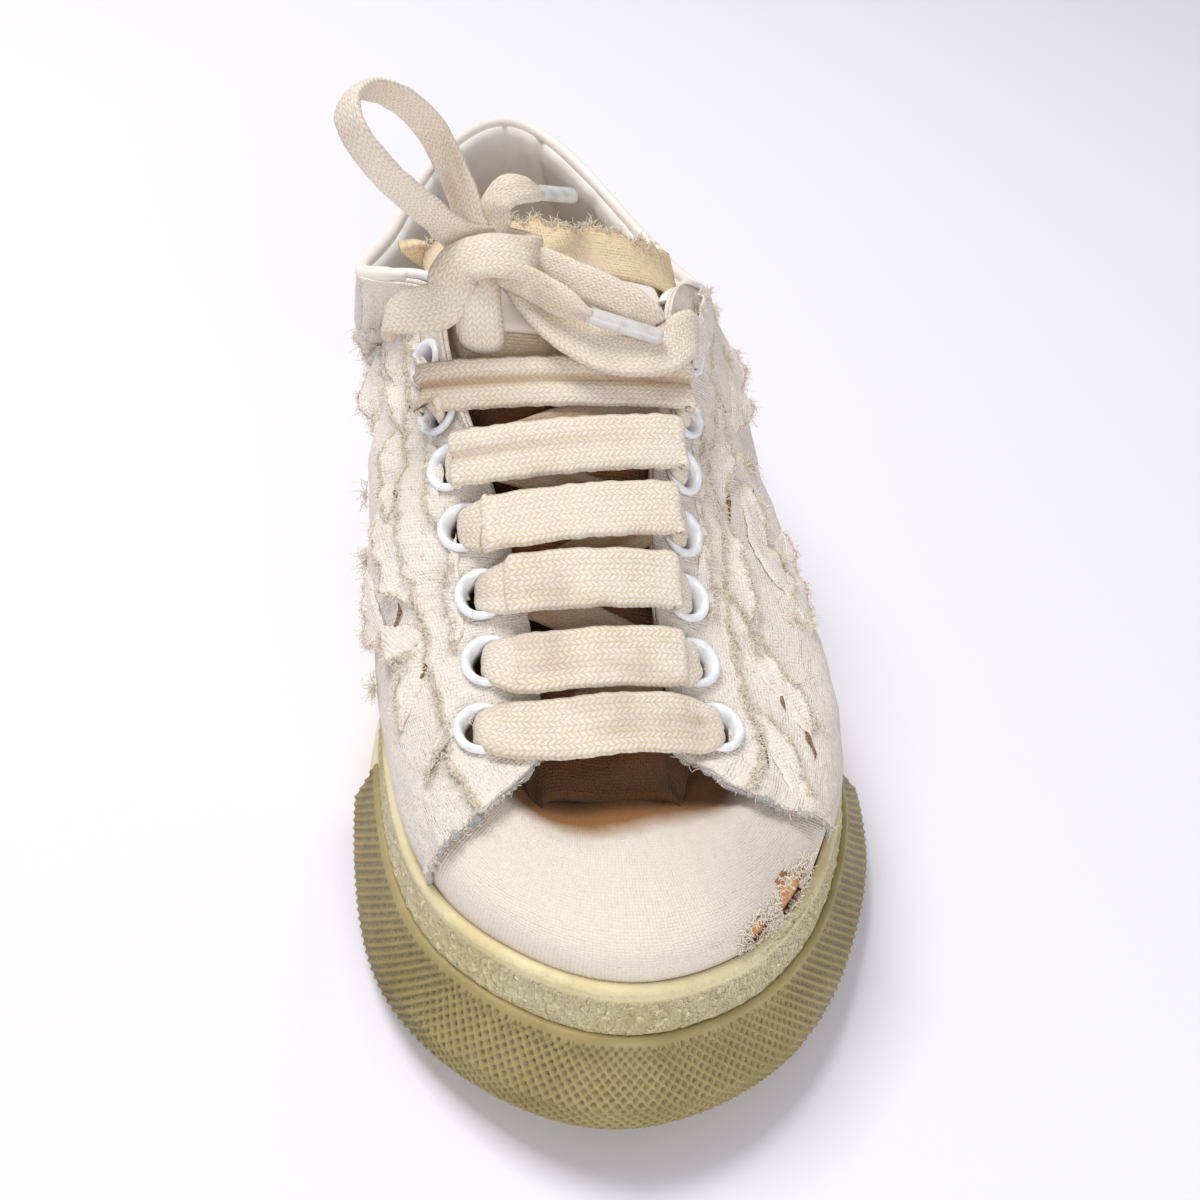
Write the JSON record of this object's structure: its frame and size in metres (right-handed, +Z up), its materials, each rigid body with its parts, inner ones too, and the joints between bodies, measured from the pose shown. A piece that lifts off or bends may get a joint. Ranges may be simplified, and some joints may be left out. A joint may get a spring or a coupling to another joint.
{
  "type": "worn-out low lace-up canvas sneaker",
  "caption": "Worn-out low canvas sneaker with a tall rubber cup sole, a ribbed toe strip, torn patchwork quarters and a tied bow.",
  "frame": {"origin": "centre of the underside of the shoe's bounding box, measured without the bow", "axes": "+Z up, the toe points to -Y and the heel to +Y, the inner side of this left shoe is at -X"},
  "size_m": [0.1108, 0.2696, 0.1324],
  "materials": {
    "rubber": "satin, yellowed",
    "bumper_rubber": "satin, yellowed",
    "canvas": "matt, worn",
    "leather": "smooth, creased",
    "lining": "matt",
    "lace": "matt braid",
    "enamel": "glossy white enamel",
    "aglet": "cloudy, glossy"
  },
  "bodies": {
    "root": {"aglet_back": "aglet", "aglet_front": "aglet", "eyelet_lateral_1": "enamel", "eyelet_lateral_2": "enamel", "eyelet_lateral_3": "enamel", "eyelet_lateral_4": "enamel", "eyelet_lateral_5": "enamel", "eyelet_lateral_6": "enamel", "eyelet_lateral_7": "enamel", "eyelet_medial_1": "enamel", "eyelet_medial_2": "enamel", "eyelet_medial_3": "enamel", "eyelet_medial_4": "enamel", "eyelet_medial_5": "enamel", "eyelet_medial_6": "enamel", "eyelet_medial_7": "enamel", "heel_counter": "leather", "insole": "lining", "lace_bars": "lace", "lace_end_back": "lace", "lace_end_front": "lace", "lace_knot": "lace", "lace_loop_big": "lace", "lace_loop_small": "lace", "outsole": "rubber", "toe_bumper": "bumper_rubber", "tongue": "canvas", "tongue_patch": "leather", "upper": "canvas"}
  },
  "joints": []
}
